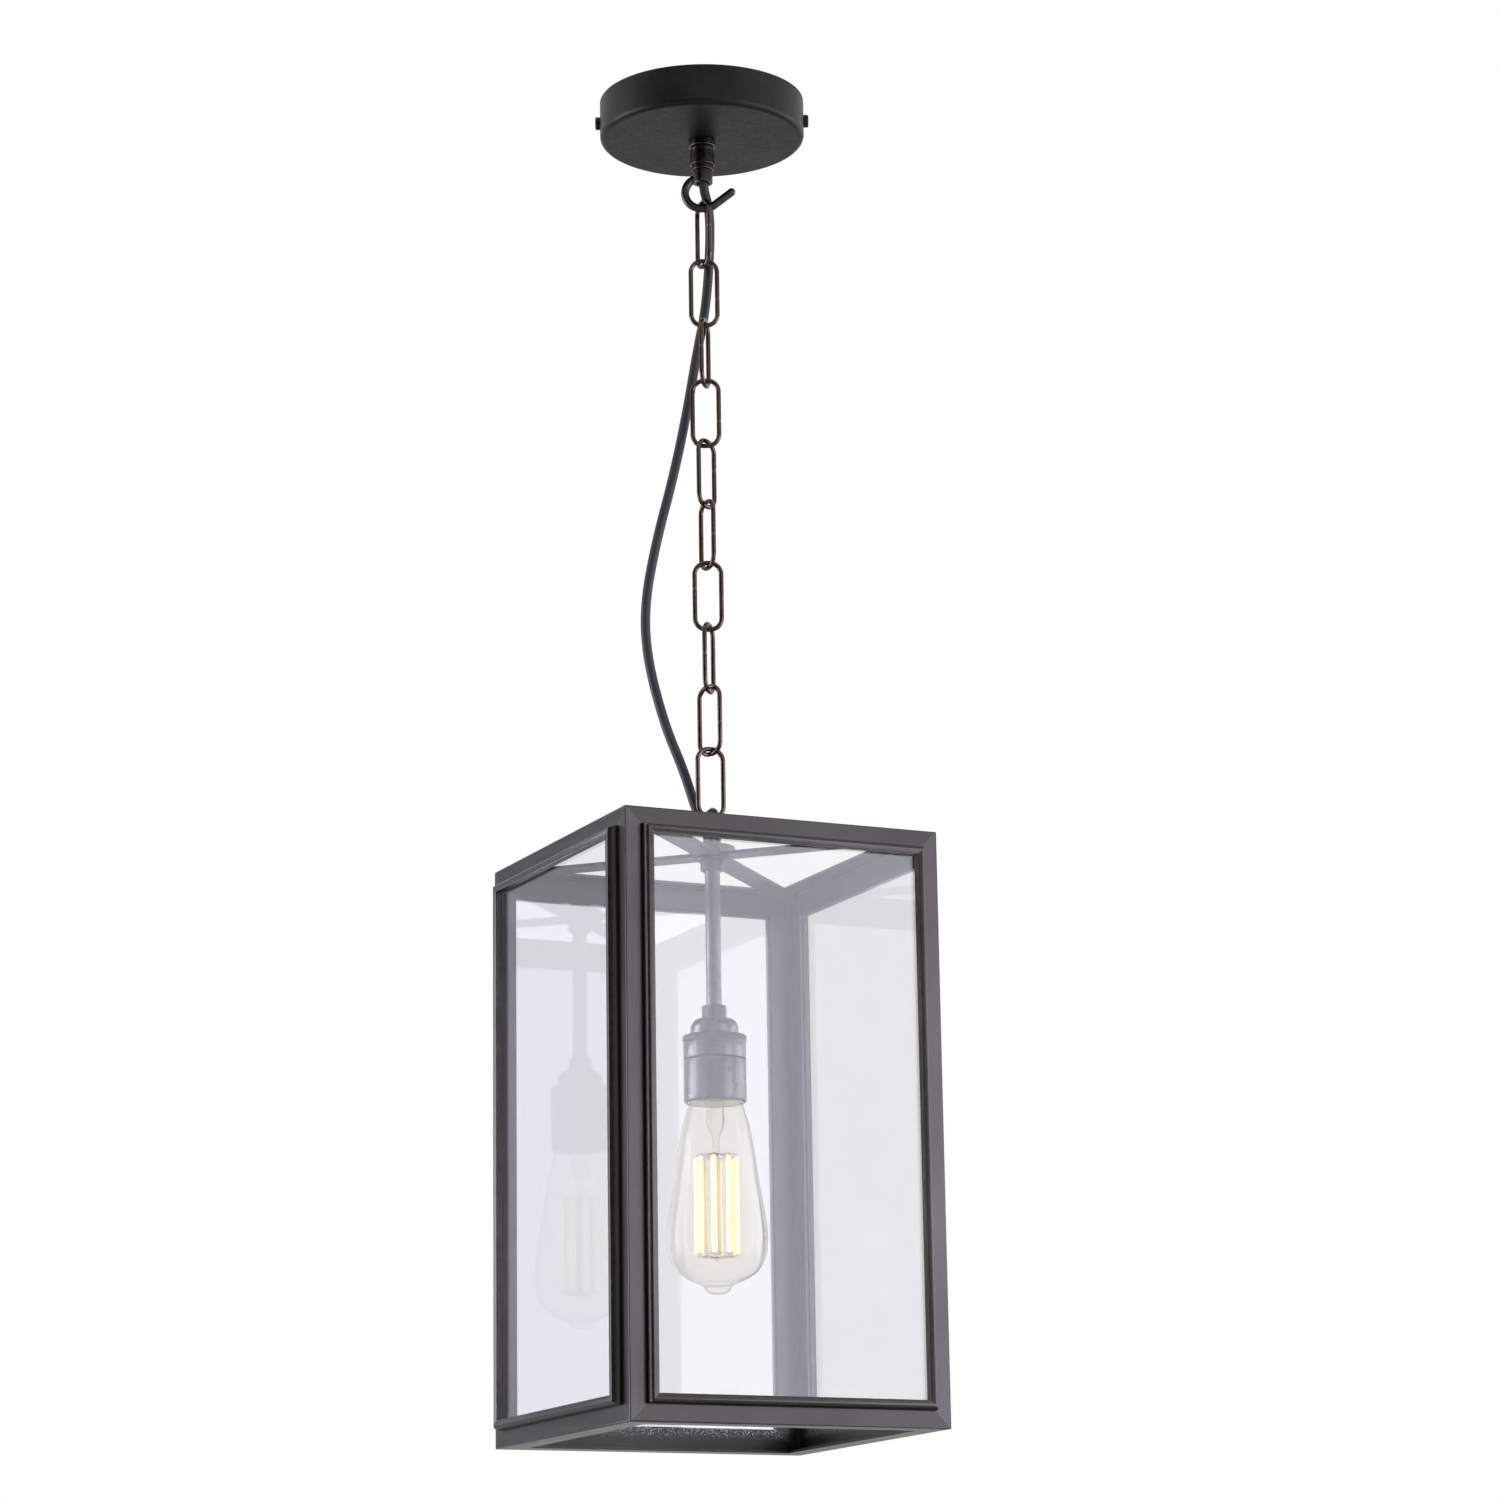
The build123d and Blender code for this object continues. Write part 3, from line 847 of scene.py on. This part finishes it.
@dataclass
class Flex(SubAssembly):
    """Flex from the hook's collar to the hanging loop, in lengths cut between the chain's joints.
    """

    title: str = "flex"
    diameter: float = 6.3
    collar: float = -57.0
    boss: float = -509.2
    start: float = -45.0
    end: float = -515.2
    joints: tuple[float, ...] = (
        -74.5, -114.95, -156.55, -198.15, -239.75, -281.35,
        -322.95, -364.55, -406.15, -447.75, -489.35,
    )
    route: tuple[Point, ...] = (
        (0.0, 0.0, 0.005),
        (4.6, 7.4, 0.036),
        (4.2, 6.9, 0.105),
        (0.8, 9.8, 0.190),
        (-5.4, 11.0, 0.255),
        (-12.2, 8.6, 0.345),
        (-21.6, 6.0, 0.445),
        (-33.5, 4.6, 0.545),
        (-41.6, 4.2, 0.640),
        (-40.2, 4.4, 0.720),
        (-29.0, 4.8, 0.820),
        (-17.2, 4.4, 0.885),
        (-8.6, 2.9, 0.952),
        (0.0, 0.0, 0.988),
    )
    spline_order: int = 3
    spline_steps: int = 14
    sides: int = 28

    def control_points(self) -> list[Vector]:
        """Points of the route in the lantern's frame.

        Returns:
            The points in metres.
        """
        drop = self.collar - self.boss
        line = [Vector((0, 0, self.start))]
        for along, behind, share in self.route:
            line.append(Vector((along, behind, self.collar - share * drop)))
        line.append(Vector((0, 0, self.end)))
        turn = Matrix.Rotation(HOOK_TURN, 3, "Z")
        return [turn @ point * MM for point in line]

    def line(self) -> list[Vector]:
        """Smooth line that the route pulls, as the spline gives it.

        Returns:
            The points of the line in metres, from the collar down.
        """
        curve = bpy.data.curves.new("flex_line", "CURVE")
        curve.dimensions = "3D"
        spline = curve.splines.new("NURBS")
        route = self.control_points()
        spline.points.add(len(route) - 1)
        for held, point in zip(spline.points, route):
            held.co = (*point, 1.0)
        spline.order_u = self.spline_order
        spline.use_endpoint_u = True
        spline.resolution_u = self.spline_steps
        holder = bpy.data.objects.new("flex_line", curve)
        mesh = bpy.data.meshes.new_from_object(holder)
        points = [point.co.copy() for point in mesh.vertices]
        bpy.data.meshes.remove(mesh)
        bpy.data.objects.remove(holder)
        bpy.data.curves.remove(curve)
        return points

    def cut(self, line: list[Vector], heights: Sequence[float]) -> list[int]:
        """Add a point to the line at each height.

        Args:
            line: Points of the line, which gains the new ones.
            heights: Heights in metres, from the top down.

        Returns:
            The place of each new point in the line.
        """
        places: list[int] = []
        for height in heights:
            place = next(n for n, point in enumerate(line) if point.z < height)
            above, below = line[place - 1], line[place]
            share = (above.z - height) / (above.z - below.z)
            line.insert(place, above.lerp(below, share))
            places.append(place)
        return places

    def build(self) -> None:
        """Build the lengths of flex and dress the tails inside the fittings."""
        line = self.line()
        middles = [(upper + lower) / 2 * MM for upper, lower in zip(self.joints, self.joints[1:])]
        places = [0, *self.cut(line, middles), len(line) - 1]
        rings = tube(line, [self.diameter / 2 * MM] * len(line), self.sides, False)
        for number, (first, last) in enumerate(zip(places, places[1:])):
            skin = Skin().add(rings[first : last + 1], False)
            length = self.piece(f"flex_length_{number + 1:02d}", skin, SHEATH, ["flex"])
            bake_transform(length)
        self.dress(SHEATH, ["flex_tail_upper", "flex_tail_lower"])


@dataclass
class LanternFrame(SubAssembly):
    """Posts and rails of mitred angle, with the straps, loop and rod that carry them."""

    title: str = "lantern frame"
    edge: float = 0.00035

    def build(self) -> None:
        """Dress the solids of the frame."""
        for side in SIDES:
            rail_grain = Grain.ALONG_X if side in ("front", "back") else Grain.ALONG_Y
            self.dress(PATINA[Grain.UPRIGHT], [f"post_{side}"], self.edge)
            self.dress(PATINA[rail_grain], [f"upper_rail_{side}"], self.edge)
            self.dress(LOWER_PATINA[rail_grain], [f"lower_rail_{side}"], self.edge)
        straps = ["cross_strap_near", "cross_strap_across"]
        self.dress(PATINA[Grain.EVEN], [*straps, "hub_washer", "hub_nut"], self.edge)
        self.dress(HOLDER_LIGHTENED, ["centre_rod"])
        self.dress(BRONZE, ["hanging_loop"])


@dataclass
class Glazing(SubAssembly):
    """Panes on the outer faces and the rounded beads that hold them."""

    title: str = "glazing"
    edge: float = 0.0002

    def build(self) -> None:
        """Dress the panes and beads."""
        for side in SIDES:
            self.dress(FRONT_PANE_SHADED if side == "front" else PANE, [f"glass_{side}"])
            self.dress(PATINA[Grain.EVEN], [f"beads_{side}"], self.edge)


@dataclass
class LampHolder(SubAssembly):
    """Turned holder with a knurled ring, a porcelain insert and its contacts."""

    title: str = "lampholder"
    ring_diameter: float = 40.5
    ring_bore: float = 24.0
    ring_top: float = -632.0
    ring_height: float = 3.9
    ring_bevel: float = 0.5
    ridges: int = 80
    ridge_points: int = 4
    ridge_depth: float = 0.5
    rim_diameter: float = 34.3
    rim_wall: float = 0.2
    rim_top: float = -667.9
    rim_bottom: float = -674.6
    rim_sides: int = 72
    edge: float = 0.0006

    def build(self) -> None:
        """Build the knurled ring and the insert's rim, which glows as painted light, and dress the
        rest.
        """
        outer, bore = self.ring_diameter / 2, self.ring_bore / 2
        top, bottom = self.ring_top, self.ring_top - self.ring_height
        outline = [
            (bore, top, 0.0),
            (outer - 2 * self.ring_bevel, top, 0.0),
            (outer - self.ring_bevel, top, 1.0),
            (outer, top - self.ring_bevel, 1.0),
            (outer, bottom + 2 * self.ring_bevel, 1.0),
            (outer, bottom + self.ring_bevel, 0.0),
            (outer - self.ring_bevel / 2, bottom, 0.0),
            (bore, bottom, 0.0),
        ]
        sides = self.ridge_points * self.ridges
        rings: list[list[Vector]] = []
        for radius, height, share in outline:
            rings.append([])
            for side in range(sides):
                groove = side % self.ridge_points >= self.ridge_points // 2
                cut = radius - share * self.ridge_depth * groove
                rings[-1].append(around(cut, math.tau * side / sides, height) * MM)
        ring = self.piece("knurled_ring", Skin().add(rings, True), HOLDER_LIGHTENED, ["holder_ring"])
        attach(ring, "lantern")
        # Thin lining of the insert's mouth, there only to glow as painted light.
        inside, outside = self.rim_diameter / 2 - self.rim_wall, self.rim_diameter / 2
        lining = [
            (inside, self.rim_top),
            (outside, self.rim_top),
            (outside, self.rim_bottom),
            (inside, self.rim_bottom),
        ]
        rim = self.piece("insert_rim_painted_glow", lathe(lining, self.rim_sides, True), RIM_PAINTED_GLOW)
        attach(rim, "lantern")
        self.dress(HOLDER_LIGHTENED, ["holder_cap", "holder_body", "holder_skirt"], self.edge)
        self.dress(IVORY, ["holder_insert"])
        self.dress(BRASS, ["screw_shell", "centre_contact"])


@dataclass
class Lamp(SubAssembly):
    """Pear lamp with a rolled screw cap, a glass stem and glowing sticks on wire rings."""

    title: str = "lamp"
    cap_diameter: float = 26.2
    cap_top: float = -650.2
    cap_bottom: float = -671.2
    cap_shoulder: float = 2.0
    shoulder_share: float = 0.5
    cap_sides: int = 72
    cap_rows: int = 84
    thread_pitch: float = 3.6
    thread_depth: float = 0.9
    thread_fade: float = 2.5
    side: tuple[Pair, ...] = (
        (13.0, -671.2), (16.7, -674.9), (19.2, -682.5), (22.5, -695.5), (27.5, -728.1),
        (31.2, -751.0), (31.9, -761.5), (30.3, -772.5), (24.6, -782.2), (15.0, -788.0),
        (10.6, -789.6), (8.7, -791.2), (7.4, -793.6), (4.2, -795.5), (AXIS_RADIUS, -795.85),
    )
    side_steps: int = 8
    glass_sides: int = 96
    wall: float = 0.6
    stem: tuple[Pair, ...] = (
        (5.75, -653.0), (5.75, -668.0), (5.75, -682.0), (5.75, -688.0), (4.8, -691.5),
        (2.9, -694.4), (2.3, -697.0), (2.2, -702.0), (2.1, -706.5), (1.4, -709.0),
        (1.1, -711.0), (1.1, -771.0), (1.5, -772.2), (AXIS_RADIUS, -773.0),
    )
    stem_steps: int = 5
    stem_sides: int = 40
    sticks: int = 8
    stick_circle: float = 25.2
    stick_turn: float = 13.0
    stick_diameter: float = 3.4
    stick_top: float = -709.4
    stick_bottom: float = -770.4
    stick_widths: tuple[float, ...] = (0.25, 0.7, 1.0, 1.0, 0.7, 0.25)
    stick_drops: tuple[float, ...] = (0.0, 0.3, 1.0, -1.0, -0.3, 0.0)
    stick_sides: int = 16
    wire: float = 0.45
    wire_sides: int = 8
    # Share of the way out to the stick, and height past its end, along a wire to the stem.
    bow: tuple[Pair, ...] = ((1.0, -0.6), (1.0, 1.2), (0.93, 2.0), (0.6, 1.2), (0.08, 2.4))
    hoop_steps: int = 60
    hoop_rise: float = 0.9
    hoop_wave: float = 0.35
    hoop_waves: int = 9

    def ride(self, made: bpy.types.Object) -> None:
        """Let a piece move with the lamp."""
        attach(made, "lamp")

    def build_glass(self) -> None:
        """Blow the glass and its stem."""
        outer = through(self.side, self.side_steps)
        wall = [*outer, *reversed(drawn_in(outer, self.wall))]
        glass = lathe(wall, self.glass_sides, True)
        self.ride(self.piece("pear_glass", glass, LAMP_TINT, ["lamp_glass"]))
        stem = lathe(through(self.stem, self.stem_steps), self.stem_sides, False)
        self.ride(self.piece("glass_stem", stem, STEM_GLASS, ["lamp_mount"]))

    def build_cap(self) -> None:
        """Roll the screw cap with its round thread."""
        radius = self.cap_diameter / 2
        rings: list[list[Vector]] = []
        for row in range(self.cap_rows + 1):
            height = self.cap_top + (self.cap_bottom - self.cap_top) * row / self.cap_rows
            below, above = self.cap_top - height, height - self.cap_bottom
            fade = max(min(1.0, below / self.thread_fade, above / self.thread_fade), 0.0)
            shoulder = max(0.0, self.cap_shoulder - below)
            rings.append([])
            for side in range(self.cap_sides):
                angle = math.tau * side / self.cap_sides
                wave = math.cos(math.tau * height / self.thread_pitch + angle)
                cut = radius - fade * self.thread_depth * (1 + wave) / 2
                cut -= shoulder**2 * self.shoulder_share
                rings[-1].append(around(cut, angle, height) * MM)
        skin = Skin().add(rings, False)
        self.ride(self.piece("screw_cap", skin, CAP_METAL, ["lamp_cap"]))

    def build_sticks(self) -> None:
        """Build the glowing sticks and the wires and rings that hold them."""
        sticks, wires = Skin(), Skin()
        circle = self.stick_circle / 2
        thin = self.wire / 2 * MM
        radii = [self.stick_diameter / 2 * MM * share for share in self.stick_widths]
        half = len(self.stick_drops) // 2
        bases = (self.stick_top,) * half + (self.stick_bottom,) * half
        heights = [base - drop for base, drop in zip(bases, self.stick_drops)]
        ends = ((self.stick_top, 1), (self.stick_bottom, -1))
        for number in range(self.sticks):
            angle = math.radians(self.stick_turn + 360 * number / self.sticks)
            foot = around(circle, angle, 0)
            path = [(foot + Vector((0, 0, height))) * MM for height in heights]
            sticks.add(tube(path, radii, self.stick_sides, False), False)
            for base, way in ends:
                path = [
                    (foot * share + Vector((0, 0, base + rise * way))) * MM
                    for share, rise in self.bow
                ]
                wires.add(tube(path, [thin] * len(path), self.wire_sides, False), False)
        for base, way in ends:
            hoop: list[Vector] = []
            for step in range(self.hoop_steps):
                turn = math.tau * step / self.hoop_steps
                rise = self.hoop_rise + self.hoop_wave * math.cos(self.hoop_waves * turn)
                hoop.append(around(circle, turn, base + rise * way) * MM)
            wires.add(tube(hoop, [thin] * len(hoop), self.wire_sides, True), True)
        self.ride(self.piece("glow_sticks", sticks, GLOW, ["light_sticks"]))
        self.ride(self.piece("holding_wires", wires, WIRE, ["stick_rings"]))

    def build(self) -> None:
        """Build the lamp and dress its contact."""
        self.build_glass()
        self.build_cap()
        self.build_sticks()
        self.dress(BRASS, ["lamp_contact"])


@dataclass
class Softbox:
    """Large lamp that faces the lantern, for its matt surfaces, its polished ones or both."""

    name: str
    place: Point
    width: float
    height: float
    radiance: float
    colour: Colour = (1.0, 1.0, 1.0)
    on_matt: bool = True
    on_polish: bool = True

    def build(self, target: Vector) -> None:
        """Hang the lamp.

        Args:
            target: Point that it faces.
        """
        light = bpy.data.lights.new(self.name, "AREA")
        light.shape = "RECTANGLE"
        light.size, light.size_y = self.width, self.height
        light.energy = self.radiance * math.pi * self.width * self.height
        light.color = self.colour
        lamp = bpy.data.objects.new(self.name, light)
        lamp.location = self.place
        lamp.rotation_euler = (target - Vector(self.place)).to_track_quat("-Z", "Y").to_euler()
        lamp.visible_camera = False
        lamp.visible_diffuse = self.on_matt
        lamp.visible_glossy = self.on_polish
        lamp.visible_transmission = self.on_polish
        bpy.context.scene.collection.objects.link(lamp)


@dataclass
class Card:
    """Card beside the lantern, dark or pale, which only its polished surfaces show."""

    name: str
    place: Point
    width: float
    height: float
    tone: Colour = (0.02, 0.02, 0.024)

    def build(self, target: Vector) -> None:
        """Stand the card up.

        Args:
            target: Point that it faces.
        """
        across, up = self.width / 2, self.height / 2
        mesh = bpy.data.meshes.new(self.name)
        corners = [(-across, -up, 0), (across, -up, 0), (across, up, 0), (-across, up, 0)]
        mesh.from_pydata(corners, [], [(0, 1, 2, 3)])
        graph = Graph(f"{self.name}_paint")
        paint = graph.body(Base_Color=self.tone, Roughness=PAINT_ROUGHNESS)
        mesh.materials.append(graph.show(paint))
        card = bpy.data.objects.new(self.name, mesh)
        card.location = self.place
        card.rotation_euler = (target - Vector(self.place)).to_track_quat("Z", "Y").to_euler()
        card.visible_camera = False
        card.visible_diffuse = False
        card.visible_transmission = False
        card.visible_shadow = False
        bpy.context.scene.collection.objects.link(card)


@dataclass
class Studio:
    """Floor, white surroundings, lamps, cards and the camera."""

    target: Vector = field(default_factory=lambda: Vector((0.0, 0.0, -0.62)))
    floor_height: float = -1.5
    floor_size: float = 7.0
    floor_tones: tuple[Colour, Colour] = ((0.86, 0.86, 0.86), (0.88, 0.88, 0.88))
    floor_cloud: float = 0.4
    ambient: float = 0.55
    softboxes: tuple[Softbox, ...] = (
        Softbox(
            "front_softbox", (1.25, -2.6, -0.25), 1.3, 1.5, 2.4, (0.93, 0.95, 1.0),
            on_polish=False,
        ),
        Softbox("left_softbox", (-2.6, -1.6, 0.5), 1.2, 1.6, 0.9, on_polish=False),
        Softbox("top_softbox", (0.2, 0.4, 1.6), 1.6, 1.6, 1.2, on_polish=False),
        Softbox(
            "front_sheen", (1.83, -2.26, -0.52), 2.7, 1.75, 3.75, (0.81, 0.83, 1.0),
            on_matt=False,
        ),
        Softbox(
            "right_sheen", (2.6, -0.35, -0.65), 1.6, 1.9, 3.6, (0.85, 0.87, 1.0),
            on_matt=False,
        ),
        Softbox(
            "left_sheen", (-2.3, 1.18, -0.65), 1.7, 1.9, 7.0, (0.85, 0.88, 1.0),
            on_matt=False,
        ),
    )
    cards: tuple[Card, ...] = (
        Card("left_card", (-2.36, -1.1, -0.4), 2.1, 3.0),
        Card("rear_card", (-1.7, -3.7, -0.6), 2.4, 3.0),
        Card("side_card", (-1.2, 2.4, -0.3), 1.7, 2.2, (0.78, 0.82, 0.96)),
    )
    camera_place: Point = (-1.1351, -2.4711, -1.1016)
    camera_look: Point = (0.4141, 0.8795, 0.2346)
    camera_roll: float = -0.89
    lens: float = 104.1
    sensor: float = 36.0
    view_depth: float = 50.0

    def build_floor(self) -> None:
        """Lay a pale floor well below the lantern."""
        half = self.floor_size / 2
        mesh = bpy.data.meshes.new("floor")
        corners = [(-half, -half), (half, -half), (half, half), (-half, half)]
        mesh.from_pydata([(x, y, self.floor_height) for x, y in corners], [], [(0, 1, 2, 3)])
        graph = Graph("floor_paint")
        tone = graph.mix(graph.noise(self.floor_cloud), *self.floor_tones)
        paint = graph.body(Base_Color=tone, Roughness=PAINT_ROUGHNESS)
        mesh.materials.append(graph.show(paint))
        floor = bpy.data.objects.new("floor", mesh)
        bpy.context.scene.collection.objects.link(floor)

    def build_world(self) -> None:
        """Surround the lantern with white that lights it softly."""
        world = bpy.data.worlds.new("white_room")
        bpy.context.scene.world = world
        world.use_nodes = True
        nodes, links = world.node_tree.nodes, world.node_tree.links
        nodes.clear()
        path = nodes.new("ShaderNodeLightPath")
        seen = path.outputs["Is Camera Ray"]
        for kind in ("Is Glossy Ray", "Is Transmission Ray"):
            either = nodes.new("ShaderNodeMath")
            either.operation = "MAXIMUM"
            links.new(seen, either.inputs[0])
            links.new(path.outputs[kind], either.inputs[1])
            seen = either.outputs[0]
        strength = nodes.new("ShaderNodeMapRange")
        links.new(seen, strength.inputs["Value"])
        strength.inputs["To Min"].default_value = self.ambient
        strength.inputs["To Max"].default_value = 1.0
        white = nodes.new("ShaderNodeBackground")
        white.inputs["Color"].default_value = (1.0, 1.0, 1.0, 1.0)
        links.new(strength.outputs[0], white.inputs["Strength"])
        output = nodes.new("ShaderNodeOutputWorld")
        links.new(white.outputs[0], output.inputs["Surface"])

    def build_camera(self) -> None:
        """Stand the camera where the photograph was taken."""
        data = bpy.data.cameras.new("camera")
        data.lens = self.lens
        data.sensor_width = self.sensor
        data.clip_end = self.view_depth
        ahead = Vector(self.camera_look).normalized()
        right = ahead.cross(Vector((0, 0, 1))).normalized()
        up = right.cross(ahead)
        roll = math.radians(self.camera_roll)
        side = right * math.cos(roll) + up * math.sin(roll)
        top = up * math.cos(roll) - right * math.sin(roll)
        turn = Matrix((side, top, -ahead)).transposed().to_4x4()
        camera = bpy.data.objects.new("camera", data)
        camera.matrix_world = Matrix.Translation(Vector(self.camera_place)) @ turn
        bpy.context.scene.collection.objects.link(camera)
        bpy.context.scene.camera = camera

    def build(self) -> None:
        """Set up the studio."""
        bpy.context.scene.view_settings.view_transform = "Standard"
        self.build_floor()
        self.build_world()
        self.build_camera()
        for fitting in (*self.softboxes, *self.cards):
            fitting.build(self.target)


def main() -> None:
    """Build the studio and every part of the lantern."""
    logging.basicConfig(level=logging.INFO, format="%(name)s %(message)s")
    Studio().build()
    for group in (CeilingRose(), Chain(), Flex(), LanternFrame(), Glazing(), LampHolder(), Lamp()):
        group.build()
        log.info("%s is done", group.title)


if __name__ == "__main__":
    main()
